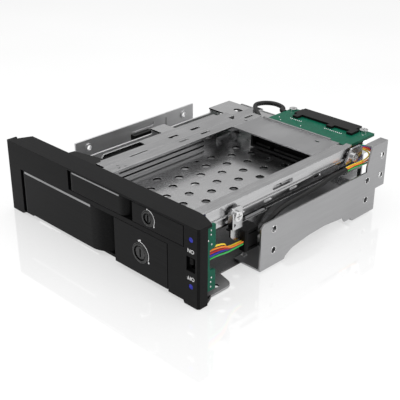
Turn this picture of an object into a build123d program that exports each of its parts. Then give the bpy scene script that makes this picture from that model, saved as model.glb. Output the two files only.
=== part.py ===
# Hot swap drive cage for one half-height front bay.
# The upper bay takes a small (2.5 inch) drive and the lower bay a large (3.5 inch) drive.
# Millimetres. X runs to the right as seen from the front, Y runs back, Z runs up.
# Depths in this file are measured back from the front face of the bezel.

import os
from math import pi

from build123d import *

# overall sizes
lock_proud = 0.3
cage_depth = 170.0
host_socket_reach = 8.0
bracket_rear_depth = cage_depth - host_socket_reach
overall_depth = cage_depth + lock_proud
bezel_width = 148.4
bezel_height = 42.0
body_half_width = 73.0
sheet = 1.0
front_y = -overall_depth / 2 + lock_proud
half_bezel = bezel_width / 2

# clearances
part_gap = 0.3
close_gap = 0.05

# standard hole pattern of a half-height bay
side_hole_radius = 1.6
side_hole_first_depth = 54.1
side_hole_pitch = 79.25
side_hole_low = 9.9
side_hole_rise = 11.9

# drives and the space round them
large_drive_width = 101.6
large_drive_side_gap = 0.6
large_drive_length = 147.0
small_drive_width = 69.85
small_drive_side_gap = 0.325
small_drive_length = 100.0
drive_front_depth = 12.5
small_drive_centre = 27.0
connector_offset = 4.8
large_drive_rear = drive_front_depth + large_drive_length
small_drive_rear = drive_front_depth + small_drive_length

# deck between the two bays
deck_top = 30.0
deck_bottom = deck_top - sheet

# walls of the upper bay
upper_inner_width = small_drive_width + 2 * small_drive_side_gap
upper_left_inner = small_drive_centre - upper_inner_width / 2
upper_right_inner = small_drive_centre + upper_inner_width / 2
upper_left_outer = upper_left_inner - sheet
upper_right_outer = upper_right_inner + sheet
cage_top = 41.0

# guides of the lower bay
lower_inner_half = large_drive_width / 2 + large_drive_side_gap
lower_guide_outer = lower_inner_half + sheet

# flaps in the bezel
mid_bar_bottom = 27.5
mid_bar_top = 30.0
mid_bar_depth = 8.0
lower_door_left = -63.2
lower_door_right = 53.5
lower_door_bottom = 2.4
lower_door_top = mid_bar_bottom - part_gap
lower_opening_right = 54.0
upper_door_left = -20.0
upper_door_right = 64.3
upper_door_bottom = mid_bar_top + part_gap
upper_door_top = 40.7
upper_opening_right = 64.8
upper_opening_top = 41.0
hinge_inset = 3.2
hinge_depth = 3.2
hinge_pin_radius = 1.0
panel_thickness = 2.9
web_front = 9.6
web_back = 11.2
lock_block_depth = 9.0

# linkage from flap to ejector: a pin on the flap drives a cross slot in the bar
crank_arm = 6.0
ejector_travel = 2 * crank_arm
ejector_pin_radius = 1.2
ejector_sheet = 1.5
tongue_front = 6.5
bar_front = 13.5

# locks
lower_lock_x = 34.3
lower_lock_z = 14.4
lower_barrel_radius = 5.2
lower_cam_reach = 14.5
upper_lock_x = 40.5
upper_lock_z = (upper_door_bottom + upper_door_top) / 2
upper_barrel_radius = 3.9
upper_cam_reach = 7.6
cam_front = 9.3
cross_slot_gap = 0.4
tine_end = 8.6
cam_thickness = 1.4


def back(depth):
    """Y of a point that lies this far behind the front face of the bezel."""
    return front_y + depth


def prism_up(points, z0, z1, mode=Mode.ADD, rounding=0.0, corners=None):
    """Prism that stands on a plan outline of (x, depth) points."""
    with BuildSketch(Plane.XY.offset(z0)) as outline:
        Polygon(*[(x, back(depth)) for x, depth in points], align=None)
        if rounding > 0:
            chosen = outline.vertices()
            if corners is not None:
                chosen = [
                    v for v in chosen
                    if any(abs(v.X - x) < 0.01 and abs(v.Y - back(d)) < 0.01 for x, d in corners)
                ]
            fillet(chosen, rounding)
    extrude(outline.sketch, amount=z1 - z0, mode=mode)


def prism_across(points, x0, x1, mode=Mode.ADD, rounding=0.0, corners=None):
    """Prism along X whose side view is an outline of (depth, z) points."""
    with BuildSketch(Plane.YZ.offset(x0)) as outline:
        Polygon(*[(back(depth), z) for depth, z in points], align=None)
        if rounding > 0:
            chosen = outline.vertices()
            if corners is not None:
                chosen = [
                    v for v in chosen
                    if any(abs(v.Y - back(d)) < 0.01 and abs(v.Z - z) < 0.01 for d, z in corners)
                ]
            fillet(chosen, rounding)
    extrude(outline.sketch, amount=x1 - x0, mode=mode)


def prism_back(points, depth0, depth1, mode=Mode.ADD, rounding=0.0):
    """Prism that runs back from a front view outline of (x, z) points."""
    plane = Plane(origin=(0, back(depth0), 0), x_dir=(1, 0, 0), z_dir=(0, -1, 0))
    with BuildSketch(plane) as outline:
        Polygon(*points, align=None)
        if rounding > 0:
            fillet(outline.vertices(), rounding)
    extrude(outline.sketch, amount=depth0 - depth1, mode=mode)


def block(x_range, depth_range, z_range, mode=Mode.ADD):
    """Rectangular block between two limits along each direction."""
    x0, x1 = x_range
    d0, d1 = depth_range
    prism_up([(x0, d0), (x1, d0), (x1, d1), (x0, d1)], z_range[0], z_range[1], mode)


def round_up(x, depth, radius, z0, z1, mode=Mode.ADD):
    """Upright round post, or a hole through sheet that lies flat."""
    with BuildSketch(Plane.XY.offset(z0)) as outline:
        with Locations((x, back(depth))):
            Circle(radius)
    extrude(outline.sketch, amount=z1 - z0, mode=mode)


def round_across(depth, z, radius, x0, x1, mode=Mode.ADD):
    """Round bar or hole that runs along X."""
    with BuildSketch(Plane.YZ.offset(x0)) as outline:
        with Locations((back(depth), z)):
            Circle(radius)
    extrude(outline.sketch, amount=x1 - x0, mode=mode)


def round_back(x, z, radius, depth0, depth1, mode=Mode.ADD):
    """Round bar or hole that runs back along Y."""
    plane = Plane(origin=(0, back(depth0), 0), x_dir=(1, 0, 0), z_dir=(0, -1, 0))
    with BuildSketch(plane) as outline:
        with Locations((x, z)):
            Circle(radius)
    extrude(outline.sketch, amount=depth0 - depth1, mode=mode)


def slot_up(x_range, depth_range, z_range, mode=Mode.SUBTRACT):
    """Round-ended slot in flat sheet, along the longer of its two ranges."""
    width = x_range[1] - x_range[0]
    depth = depth_range[1] - depth_range[0]
    with BuildSketch(Plane.XY.offset(z_range[0])) as outline:
        with Locations((sum(x_range) / 2, back(sum(depth_range) / 2))):
            SlotOverall(max(width, depth), min(width, depth), rotation=0 if width > depth else 90)
    extrude(outline.sketch, amount=z_range[1] - z_range[0], mode=mode)


def slot_across(depth_range, z_range, x_range, mode=Mode.SUBTRACT):
    """Round-ended slot through an upright side wall."""
    depth = depth_range[1] - depth_range[0]
    height = z_range[1] - z_range[0]
    with BuildSketch(Plane.YZ.offset(x_range[0])) as outline:
        with Locations((back(sum(depth_range) / 2), sum(z_range) / 2)):
            SlotOverall(max(depth, height), min(depth, height), rotation=0 if depth > height else 90)
    extrude(outline.sketch, amount=x_range[1] - x_range[0], mode=mode)


def side_hole_places():
    """Depth and height of the four screw holes of one side plate."""
    depths = (side_hole_first_depth, side_hole_first_depth + side_hole_pitch)
    heights = (side_hole_low, side_hole_low + side_hole_rise)
    return [(depth, height) for depth in depths for height in heights]


# bezel with its two openings, the lamp column and the switch recess
front_thickness = 2.5
ledge_depth = 12.8
ledge_bottom = 40.6
bezel_side_depth = 6.0
bezel_side_thickness = 1.1
column_foot_left = -64.8
column_foot_right = 64.8
door_sill_gap = 0.4
sill_front = 4.0
sill_bottom = 0.4
switch_x = 69.2
switch_z = 22.5
switch_recess_width = 5.6
switch_recess_height = 7.6
switch_recess_depth = 1.8
lamp_x = 69.2
upper_lamp_z = 35.3
lower_lamp_z = 10.7
lamp_radius = 1.3


def make_bezel():
    sill_top = lower_door_bottom - door_sill_gap
    lower_opening_left = lower_door_left - part_gap
    upper_opening_left = upper_door_left - part_gap
    lower_hinge_x = lower_door_left + hinge_inset
    upper_hinge_x = upper_door_left + hinge_inset
    with BuildPart() as bezel:
        prism_back(
            [
                (-half_bezel, 0), (column_foot_left, 0), (lower_door_left + 2.4, 2.0),
                (lower_opening_right, 2.0), (lower_opening_right, 1.4), (column_foot_right - 0.6, 1.4),
                (column_foot_right, 0), (half_bezel, 0), (half_bezel, bezel_height),
                (-half_bezel, bezel_height),
            ],
            0, front_thickness,
        )
        # top ledge, which narrows towards both ends
        prism_up(
            [
                (-half_bezel, front_thickness), (half_bezel, front_thickness), (half_bezel, 8.6),
                (71.0, ledge_depth - 2.6), (66.4, ledge_depth - 0.7), (62.0, ledge_depth),
                (-68.2, ledge_depth), (-71.6, 5.0), (-half_bezel, 5.0),
            ],
            ledge_bottom, bezel_height,
        )
        # side walls and the back rim of the two feet
        for inner, outer in (
            (-half_bezel + bezel_side_thickness, -half_bezel),
            (half_bezel - bezel_side_thickness, half_bezel),
        ):
            block((min(inner, outer), max(inner, outer)), (front_thickness, bezel_side_depth),
                  (0, bezel_height))
        block((-half_bezel, column_foot_left), (front_thickness, bezel_side_depth), (0, 1.2))
        block((column_foot_right, half_bezel - 3.2), (front_thickness, bezel_side_depth), (0, 1.2))
        # cuts for the two flaps
        block((lower_opening_left, lower_opening_right), (-1, ledge_depth),
              (sill_top, mid_bar_bottom), Mode.SUBTRACT)
        block((upper_opening_left, upper_opening_right), (-1, ledge_depth),
              (mid_bar_top, upper_opening_top), Mode.SUBTRACT)
        # bar between the flaps and set-back sill under the lower one
        block((column_foot_left, upper_opening_right), (0.6, mid_bar_depth), (mid_bar_bottom, mid_bar_top))
        block((column_foot_left, lower_opening_right + 2), (sill_front, mid_bar_depth), (sill_bottom, sill_top))
        block((column_foot_left, lower_hinge_x + 3.0), (hinge_depth - 1.8, sill_front), (sill_bottom, sill_top))
        # ends of the openings, seen behind the flap edges
        block((lower_opening_right, lower_opening_right + 1.6), (front_thickness, mid_bar_depth),
              (sill_bottom, mid_bar_bottom))
        block((lower_opening_left - 1.6, lower_opening_left), (front_thickness, mid_bar_depth),
              (sill_bottom, mid_bar_bottom))
        block((upper_opening_left - 1.6, upper_opening_left), (front_thickness, mid_bar_depth),
              (mid_bar_top, ledge_bottom))
        # stiffening ribs on the blank area left of the upper flap
        for rib_x in (-58.0, -46.0, -34.0):
            block((rib_x, rib_x + 1.4), (front_thickness, mid_bar_depth), (mid_bar_top, ledge_bottom))
        # bores for the hinge pins
        round_up(lower_hinge_x, hinge_depth, hinge_pin_radius, sill_bottom + 0.6, mid_bar_top - 0.8,
                 Mode.SUBTRACT)
        round_up(upper_hinge_x, hinge_depth, hinge_pin_radius, mid_bar_bottom + 0.8, bezel_height - 0.5,
                 Mode.SUBTRACT)
        # lamps and switch in the right column
        round_back(lamp_x, upper_lamp_z, lamp_radius + close_gap, -1, front_thickness + 1, Mode.SUBTRACT)
        round_back(lamp_x, lower_lamp_z, lamp_radius + close_gap, -1, front_thickness + 1, Mode.SUBTRACT)
        block(
            (switch_x - switch_recess_width / 2, switch_x + switch_recess_width / 2),
            (-1, switch_recess_depth),
            (switch_z - switch_recess_height / 2, switch_z + switch_recess_height / 2),
            Mode.SUBTRACT,
        )
        block(
            (switch_x - 1.4, switch_x + 1.4), (-1, front_thickness + 1),
            (switch_z - 3.0, switch_z + 3.0), Mode.SUBTRACT,
        )
        # locating lug behind the right foot
        prism_up([(70.9, bezel_side_depth), (half_bezel - 1.2, bezel_side_depth), (half_bezel - 1.2, 7.6),
                  (71.4, 11.0), (70.9, 11.0)], 0, 2.0)
        # softened front edge at the right
        edge = bezel.edges().filter_by(Axis.Z).filter_by(
            lambda e: abs(e.center().X - half_bezel) < 0.01 and abs(e.center().Y - front_y) < 0.01)
        chamfer(edge, 1.0)
    return bezel.part


# bottom tray
tray_half_width = 59.0
tray_front = mid_bar_depth
tray_rear = bracket_rear_depth
ear_half_width = 70.6
ear_front = 8.6
ear_rear = 27.0
plate_front = 44.5
plate_rear = 142.3
flange_inner = 55.6


def make_base_tray():
    slot_lengths = ((60.0, 76.0), (88.0, 104.0), (116.0, 132.0))
    with BuildPart() as tray:
        prism_up(
            [
                (-62.0, tray_front), (62.0, tray_front), (62.0, ear_front), (ear_half_width, ear_front),
                (ear_half_width, ear_rear), (tray_half_width, ear_rear + 3.0), (tray_half_width, 148.0),
                (54.0, 152.0), (54.0, tray_rear), (-56.0, tray_rear), (-56.0, 152.0),
                (-tray_half_width, 148.0), (-tray_half_width, ear_rear + 3.0),
                (-ear_half_width, ear_rear), (-ear_half_width, ear_front), (-62.0, ear_front),
            ],
            0, sheet, rounding=5.0,
            corners=[(ear_half_width, ear_rear), (-ear_half_width, ear_rear)],
        )
        # slots under the large drive
        for depths in slot_lengths:
            for centre in (-24.0, 24.0):
                slot_up((centre - 2.5, centre + 2.5), depths, (-1, sheet + 1))
        for centre in (-36.0, 0.0, 36.0):
            slot_up((centre - 9.0, centre + 9.0), (24.0, 30.0), (-1, sheet + 1))
        for x in (-66.0, 66.0):
            round_up(x, 20.0, 1.6, -1, sheet + 1, Mode.SUBTRACT)
        # folded stop across the front behind the sill
        block((-46.0, 46.0), (tray_front, tray_front + sheet), (sheet, 1.8))
    return tray.part


# side plates, each folded inwards at the bottom
arch_points = [
    (64.0, 2.6), (68.9, 5.1), (82.3, 7.1), (96.4, 7.6), (110.6, 6.2), (113.0, 6.0), (114.6, 3.0),
    (121.0, 3.0),
]
tail_rear = 150.5
tail_top = 40.0
rim_radius = 2.5
rim_height = 0.8


def make_right_side_plate():
    with BuildPart() as plate:
        prism_across(
            [
                (plate_front, sheet), (63.0, sheet), *arch_points, (122.0, sheet),
                (plate_rear, sheet), (plate_rear, 14.0), (tail_rear, 14.0), (tail_rear, tail_top + 1.0),
                (136.0, tail_top + 1.0), (132.5, 30.0), (132.5, 26.8), (46.5, 26.8),
                (plate_front, 24.8),
            ],
            body_half_width - sheet, body_half_width,
        )
        block((68.0, body_half_width), (136.0, tail_rear), (tail_top, tail_top + sheet))
        for depth_range in ((plate_front, 63.0), (122.0, plate_rear)):
            block((flange_inner, body_half_width), depth_range, (sheet, 2 * sheet))
        for depth, height in side_hole_places():
            round_across(depth, height, rim_radius, body_half_width - sheet - rim_height, body_half_width - sheet)
            round_across(depth, height, side_hole_radius, body_half_width - 3, body_half_width + 1,
                         Mode.SUBTRACT)
        for height in (21.1, 33.1):
            round_across(146.3, height, side_hole_radius, body_half_width - 2, body_half_width + 1,
                         Mode.SUBTRACT)
    return plate.part


def make_left_side_plate():
    with BuildPart() as plate:
        prism_across(
            [
                (plate_front, sheet), (63.0, sheet), *arch_points, (122.0, sheet),
                (plate_rear, sheet), (plate_rear, 26.8), (plate_front, 26.8),
            ],
            -body_half_width, -body_half_width + sheet,
            rounding=2.4, corners=[(plate_rear, 26.8), (plate_front, 26.8)],
        )
        for depth_range in ((plate_front, 63.0), (122.0, plate_rear)):
            block((-body_half_width, -flange_inner), depth_range, (sheet, 2 * sheet))
        for depth, height in side_hole_places():
            round_across(depth, height, rim_radius, -body_half_width + sheet,
                         -body_half_width + sheet + rim_height)
            round_across(depth, height, side_hole_radius, -body_half_width - 1, -body_half_width + 3,
                         Mode.SUBTRACT)
        # pressed marks on the inner face
        slot_across((88.0, 107.0), (21.4, 24.4), (-body_half_width + 0.6 * sheet, -body_half_width + 2))
        slot_across((116.9, 118.1), (16.0, 24.0), (-body_half_width + 0.6 * sheet, -body_half_width + 2))
    return plate.part


# guide rails of the lower bay: a wall on a folded foot
guide_front = 22.0
guide_rear = bracket_rear_depth - 15.0
right_guide_front = 56.0
left_guide_top = 27.0
guide_foot = 2.6


def make_lower_guide_left():
    wall_x = (-lower_guide_outer, -lower_inner_half)
    with BuildPart() as guide:
        prism_across(
            [
                (guide_front, sheet), (guide_rear, sheet), (guide_rear, deck_bottom), (138.0, deck_bottom),
                (138.0, left_guide_top), (98.0, left_guide_top), (98.0, deck_bottom), (87.0, deck_bottom),
                (87.0, left_guide_top), (guide_front + 6.0, left_guide_top), (guide_front, 22.0),
            ],
            *wall_x,
        )
        block((-lower_guide_outer, -lower_guide_outer + guide_foot), (guide_front, guide_rear),
              (sheet, sheet + 0.9))
        slot_across((40.0, 66.0), (9.0, 13.0), (-54.0, -50.0))
        slot_across((104.0, 130.0), (9.0, 13.0), (-54.0, -50.0))
    return guide.part


def make_lower_guide_right():
    with BuildPart() as guide:
        block((lower_inner_half, lower_guide_outer), (right_guide_front, guide_rear), (sheet, deck_bottom))
        block((lower_guide_outer - guide_foot, lower_guide_outer), (right_guide_front, guide_rear),
              (sheet, sheet + 0.9))
        slot_across((66.0, 92.0), (9.0, 13.0), (50.0, 54.0))
        slot_across((104.0, 130.0), (9.0, 13.0), (50.0, 54.0))
        prism_across([(right_guide_front - 1, 20.0), (right_guide_front + 8, deck_bottom + 1),
                      (right_guide_front - 1, deck_bottom + 1)], 50.0, 54.0, Mode.SUBTRACT)
    return guide.part


# perforated deck over the lower bay
deck_front = mid_bar_depth
deck_rear = 157.0
deck_left = -23.0
deck_hole_radius = 2.3
deck_hole_pitch = 12.0
row_pitch = 20.6
arm_end = -53.0


def make_deck():
    with BuildPart() as deck:
        prism_up(
            [
                (deck_left, deck_front), (upper_right_outer, deck_front), (upper_right_outer, 130.0),
                (59.0, 134.0), (59.0, deck_rear), (arm_end, deck_rear), (arm_end, 138.0),
                (deck_left, 138.0), (deck_left, 98.0), (arm_end, 98.0), (arm_end, 87.0),
                (deck_left, 87.0), (deck_left, 22.0), (-50.0, 22.0), (-50.0, 13.0),
                (deck_left, 13.0),
            ],
            deck_bottom, deck_top,
        )
        # room for the two lock cams behind the bar
        block((28.0, 46.0), (deck_front - 1, drive_front_depth + 0.5), (deck_bottom - 1, deck_top + 1),
              Mode.SUBTRACT)
        first_row = 40.4
        for row in range(-1, 4):
            for column in range(5):
                round_up(3.4 + deck_hole_pitch * column, first_row + row_pitch * row, deck_hole_radius,
                         deck_bottom - 1, deck_top + 1, Mode.SUBTRACT)
        second_row = first_row + row_pitch / 2
        for row in range(-1, 3):
            for column in range(4):
                round_up(9.4 + deck_hole_pitch * column, second_row + row_pitch * row, deck_hole_radius,
                         deck_bottom - 1, deck_top + 1, Mode.SUBTRACT)
        round_up(1.6, 71.8, 1.2, deck_bottom - 1, deck_top + 1, Mode.SUBTRACT)
        slot_up((-40.0, -28.0), (146.0, 150.0), (deck_bottom - 1, deck_top + 1))
        slot_up((4.0, 46.0), (118.0, 128.0), (deck_bottom - 1, deck_top + 1))
    return deck.part


# screws that hold the bracket tabs to the right wall
clip_screws = ((33.9, 34.0), (128.0, 35.4))
clip_screw_radius = 1.2


# right wall of the upper bay with its folded top and outer skirt
rail_front = 12.8
rail_rear = 130.0
top_flange_inner_right = 56.8
skirt_bottom = 35.0
skirt_lip = 1.4


def make_bay_rail_right():
    with BuildPart() as rail:
        block((upper_right_inner, upper_right_outer), (rail_front, 108.0), (deck_top, cage_top))
        block((upper_right_inner, upper_right_outer), (108.0, rail_rear), (deck_top, cage_top))
        block((upper_right_inner, upper_right_outer), (rail_rear, 148.0), (deck_top + 2.0, 35.6))
        prism_up(
            [
                (top_flange_inner_right, rail_front), (upper_right_outer, rail_front),
                (upper_right_outer, rail_rear), (59.5, rail_rear), (59.9, 126.4),
                (top_flange_inner_right, 124.6),
            ],
            cage_top - sheet, cage_top,
        )
        # outer skirt folded down over the recessed wall
        block((upper_right_outer, upper_right_outer + 0.8), (rail_front + 2, rail_rear - 2),
              (skirt_bottom, cage_top))
        block((upper_right_outer, upper_right_outer + skirt_lip), (rail_front + 4, rail_rear - 4),
              (skirt_bottom - 0.5, skirt_bottom + 0.3))
        slot_across((62.6, 78.3), (36.6, 39.0), (upper_right_inner - 1, upper_right_outer + 3))
        for depth in (40.0, 60.0, 80.0, 100.0):
            slot_across((depth - 3.0, depth + 3.0), (31.6, 33.0), (upper_right_inner - 1, upper_right_outer + 1))
        for depth, height in clip_screws:
            round_across(depth, height, clip_screw_radius, upper_right_inner - 1, upper_right_outer + 3,
                         Mode.SUBTRACT)
    return rail.part


top_flange_inner_left = -1.5


def make_bay_rail_left():
    with BuildPart() as rail:
        block((upper_left_outer, upper_left_inner), (rail_front, 98.0), (deck_top, cage_top))
        block((upper_left_outer, upper_left_inner), (98.0, 116.0), (39.4, cage_top))
        block((upper_left_outer, upper_left_inner), (116.0, 129.0), (deck_top, cage_top))
        block((upper_left_outer, top_flange_inner_left), (rail_front, 116.0), (cage_top - sheet, cage_top))
        prism_up(
            [(upper_left_outer, 116.0), (-4.0, 116.0), (-1.4, 118.0), (-1.4, 129.0), (upper_left_outer, 129.0)],
            cage_top - sheet, cage_top,
        )
        # long pressed steps that guide the small drive
        for low, high in ((31.4, 32.4), (34.4, 35.4)):
            slot_across((24.0, 88.0), (low, high), (upper_left_outer - 1, upper_left_inner + 1))
        slot_up((-7.0, -5.4), (66.0, 73.0), (cage_top - 2, cage_top + 1))
        slot_up((-7.0, -5.4), (83.0, 90.0), (cage_top - 2, cage_top + 1))
        slot_up((-6.4, -4.6), (119.0, 126.0), (cage_top - 2, cage_top + 1))
        for x, depth in ((-6.6, 22.0), (-3.6, 20.5), (-3.4, 24.5)):
            round_up(x, depth, 0.7, cage_top - 2, cage_top + 1, Mode.SUBTRACT)
    return rail.part


# channel left of the upper bay that houses the ejector
channel_left_outer = -23.0
rear_shelf_top = 38.0


def make_ejector_channel():
    with BuildPart() as channel:
        prism_across(
            [
                (24.0, deck_top), (110.5, deck_top), (110.5, cage_top), (26.0, cage_top), (24.0, 39.0),
            ],
            channel_left_outer, channel_left_outer + sheet,
            rounding=0.8, corners=[(24.0, 39.0)],
        )
        prism_up(
            [
                (-16.0, 15.5), (upper_left_outer, 15.5), (upper_left_outer, 112.5), (-13.0, 112.5),
                (-13.0, 118.0), (-20.0, 118.0), (-20.0, 110.5), (channel_left_outer, 110.5),
                (channel_left_outer, 51.0), (-17.2, 51.0), (-17.2, 19.0), (-16.0, 19.0),
            ],
            cage_top - sheet, cage_top,
        )
        block((-20.0, -19.0), (110.5, 118.0), (deck_top, cage_top))
        block((-20.0, -19.0), (118.0, 144.5), (deck_top, rear_shelf_top))
        block((-20.0, -13.0), (117.0, 144.5), (rear_shelf_top - sheet, rear_shelf_top))
        block((-20.0, -13.0), (117.0, 118.0), (rear_shelf_top - sheet, cage_top))
        block((-17.2, -16.2), (20.0, 51.0), (39.4, cage_top - sheet))
        slot_up((-10.9, -9.9), (33.7, 46.4), (cage_top - 2, cage_top + 1))
        slot_up((-15.6, -13.4), (66.0, 73.0), (cage_top - 2, cage_top + 1))
        slot_up((-15.6, -13.4), (83.0, 90.0), (cage_top - 2, cage_top + 1))
        slot_across((60.0, 84.0), (33.0, 37.0), (channel_left_outer - 1, channel_left_outer + 2))
    return channel.part


# bracket on the right that ties the upper bay to the side plate
bracket_bottom = 19.3
bracket_inner = upper_right_outer
front_tab = (29.8, 38.0)
rear_tab = (121.0, 136.0)
clip_x = 65.3


def make_side_bracket():
    with BuildPart() as bracket:
        prism_across(
            [
                (32.0, 27.6), (32.0, 22.0), (35.0, bracket_bottom), (136.0, bracket_bottom), (136.0, 27.6),
            ],
            bracket_inner, bracket_inner + sheet,
            rounding=2.0, corners=[(32.0, 22.0)],
        )
        # lip under the deck edge, where the bracket is riveted on
        block((56.0, bracket_inner + sheet), (58.0, 120.0), (deck_bottom - sheet, deck_bottom))
        block((bracket_inner, bracket_inner + sheet), (58.0, 120.0), (27.0, deck_bottom))
        # arms out to the side plate
        for depth_range in ((58.0, 66.0), (122.0, 130.0)):
            block((bracket_inner, body_half_width - sheet), depth_range, (bracket_bottom, bracket_bottom + sheet))
            block((body_half_width - 2 * sheet, body_half_width - sheet), depth_range,
                  (bracket_bottom, 24.0))
        # raised tabs that hold the rail with one screw each
        prism_across(
            [(29.8, 27.0), (38.0, 27.0), (38.0, 37.0), (36.5, 38.6), (31.0, 38.6), (29.8, 37.0)],
            clip_x, clip_x + sheet, rounding=0.8,
        )
        block((bracket_inner, clip_x + sheet), (29.8, 38.0), (26.6, 27.6))
        block((clip_x, clip_x + 3.0), (28.8, 29.8), (28.6, 37.2))
        prism_across(
            [(121.0, 27.0), (136.0, 27.0), (136.0, 39.0), (134.0, cage_top - 0.2), (126.0, cage_top - 0.2),
             (121.0, 34.0)],
            clip_x, clip_x + sheet, rounding=0.8,
        )
        block((bracket_inner, clip_x + sheet), (121.0, 136.0), (26.6, 27.6))
        for depth, height in clip_screws:
            round_across(depth, height, 2.2, upper_right_outer + skirt_lip, clip_x, Mode.ADD)
            round_across(depth, height, clip_screw_radius, bracket_inner - 1, clip_x + 2, Mode.SUBTRACT)
        slot_across((31.4, 33.2), (28.4, 30.0), (clip_x - 1, clip_x + 2))
    return bracket.part


# cover over the rear connector of the upper bay
def make_rear_cover():
    with BuildPart() as cover:
        block((top_flange_inner_left + 0.1, top_flange_inner_right - 0.1), (104.0, 127.6), (cage_top - 0.8, cage_top))
        block((2.0, 51.0), (126.8, 127.6), (cage_top, bezel_height))
        slot_up((45.0, 48.0), (120.0, 121.4), (cage_top - 2, cage_top + 1))
        # folded tongues that lap under the two rails
        tongue_top = cage_top - sheet
        block((top_flange_inner_left - 2.0, 2.0), (106.0, 114.0), (tongue_top - 0.6, tongue_top))
        block((top_flange_inner_left + 0.1, 2.0), (106.0, 114.0), (tongue_top - 0.6, cage_top - 0.8))
        block((55.2, top_flange_inner_right + 2.0), (106.0, 114.0), (tongue_top - 0.6, tongue_top))
        block((55.2, top_flange_inner_right - 0.1), (106.0, 114.0), (tongue_top - 0.6, cage_top - 0.8))
    return cover.part


# rear wall of the lower bay
def make_rear_bracket():
    with BuildPart() as wall:
        prism_back([(-50.0, sheet), (50.0, sheet), (50.0, 25.0), (47.0, 28.0), (-47.0, 28.0), (-50.0, 25.0)],
                   bracket_rear_depth, bracket_rear_depth + sheet)
        block((-50.0, 50.0), (bracket_rear_depth - 8.0, bracket_rear_depth + sheet), (sheet, 2 * sheet))
        for x0, x1 in ((-46.0, -30.0), (-24.0, -8.0)):
            block((x0, x1), (bracket_rear_depth - 1, bracket_rear_depth + 2), (6.0, 22.0), Mode.SUBTRACT)
        for x0, x1 in host_socket_spans:
            block((x0 - 0.6, x1 + 0.6), (bracket_rear_depth - 1, bracket_rear_depth + 2),
                  (host_socket_bottom - 0.6, host_socket_top + 0.6), Mode.SUBTRACT)
        block((lower_connector_left, lower_connector_right),
              (bracket_rear_depth - 9, bracket_rear_depth - 1), (sheet, 3), Mode.SUBTRACT)
        for x, z in lower_board_screw_places:
            round_back(x, z, 1.1, bracket_rear_depth - 1, bracket_rear_depth + 2, Mode.SUBTRACT)
    return wall.part


# upper connector board
board_thickness = 1.6
upper_board_top = 40.0
upper_board_front = 118.0
upper_board_rear = 155.0
upper_board_screw_places = ((4.6, 151.8), (54.9, 153.2))
board_screw_radius = 1.2


def make_upper_board():
    with BuildPart() as board:
        prism_up(
            [
                (9.0, upper_board_front), (55.0, upper_board_front), (55.0, 129.0), (61.0, 129.0),
                (61.0, upper_board_rear), (2.0, upper_board_rear),
                (2.0, 131.0), (9.0, 129.0),
            ],
            upper_board_top - board_thickness, upper_board_top,
        )
        for x, depth in upper_board_screw_places:
            round_up(x, depth, board_screw_radius, upper_board_top - 3, upper_board_top + 1, Mode.SUBTRACT)
    return board.part


def make_upper_standoffs():
    with BuildPart() as posts:
        for x, depth in upper_board_screw_places:
            with BuildSketch(Plane.XY.offset(deck_top)) as hexagon:
                with Locations((x, back(depth))):
                    RegularPolygon(2.6, 6)
            extrude(hexagon.sketch, amount=upper_board_top - board_thickness - deck_top)
            round_up(x, depth, board_screw_radius, deck_top + 3.0, upper_board_top, Mode.SUBTRACT)
    return posts.part


def make_upper_board_screws():
    with BuildPart() as screws:
        for x, depth in upper_board_screw_places:
            round_up(x, depth, board_screw_radius, deck_top + 4.0, upper_board_top)
            round_up(x, depth, 2.4, upper_board_top, upper_board_top + 1.3)
            block((x - 1.5, x + 1.5), (depth - 0.25, depth + 0.25),
                  (upper_board_top + 0.7, upper_board_top + 2), Mode.SUBTRACT)
            block((x - 0.25, x + 0.25), (depth - 1.5, depth + 1.5),
                  (upper_board_top + 0.7, upper_board_top + 2), Mode.SUBTRACT)
    return screws.part


# connectors that the drives plug on to
drive_connector_width = 46.0
upper_connector_front = 108.5
lower_connector_offset = 20.7
lower_connector_left = lower_connector_offset - drive_connector_width / 2
lower_connector_right = lower_connector_offset + drive_connector_width / 2
lower_board_front = bracket_rear_depth - board_thickness
lower_connector_reach = 5.9


def connector_body(centre, front, rear, bottom, height):
    """Plug-in connector with a long data and power tongue in an open-fronted shroud."""
    half = drive_connector_width / 2
    block((centre - half, centre + half), (front, rear), (bottom, bottom + height))
    block((centre - half + 1.6, centre + half - 1.6), (front - 1, front + 4.4),
          (bottom + 1.4, bottom + height - 1.4), Mode.SUBTRACT)
    block((centre - half + 3.4, centre - half + 14.0), (front + 0.8, front + 5.0),
          (bottom + 1.8, bottom + 3.1))
    block((centre - half + 17.0, centre + half - 3.4), (front + 0.8, front + 5.0),
          (bottom + 1.8, bottom + 3.1))


def make_upper_connector():
    with BuildPart() as connector:
        connector_body(small_drive_centre + connector_offset, upper_connector_front, upper_board_front,
                       30.8, 9.4)
    return connector.part


def make_lower_connector():
    with BuildPart() as connector:
        connector_body(lower_connector_offset, lower_board_front - lower_connector_reach, lower_board_front,
                       3.2, 6.8)
    return connector.part


lower_board_screw_places = ((-36.0, 24.0), (41.0, 24.0))


def make_lower_board():
    with BuildPart() as board:
        prism_back([(-40.0, 2.6), (45.0, 2.6), (45.0, 27.0), (-40.0, 27.0)], lower_board_front,
                   bracket_rear_depth, rounding=1.5)
        for x, z in lower_board_screw_places:
            round_back(x, z, 1.1, lower_board_front - 1, bracket_rear_depth + 1, Mode.SUBTRACT)
    return board.part


def make_lower_board_screws():
    with BuildPart() as screws:
        for x, z in lower_board_screw_places:
            round_back(x, z, 1.1, lower_board_front - 0.4, bracket_rear_depth + 1.0)
            round_back(x, z, 2.2, bracket_rear_depth + sheet, bracket_rear_depth + sheet + 1.2)
            block((x - 1.4, x + 1.4), (bracket_rear_depth + sheet + 0.6, bracket_rear_depth + 4),
                  (z - 0.25, z + 0.25), Mode.SUBTRACT)
    return screws.part


host_socket_spans = ((-2.0, 12.0), (15.0, 37.0))
host_socket_bottom = 12.0
host_socket_top = 18.4


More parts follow.
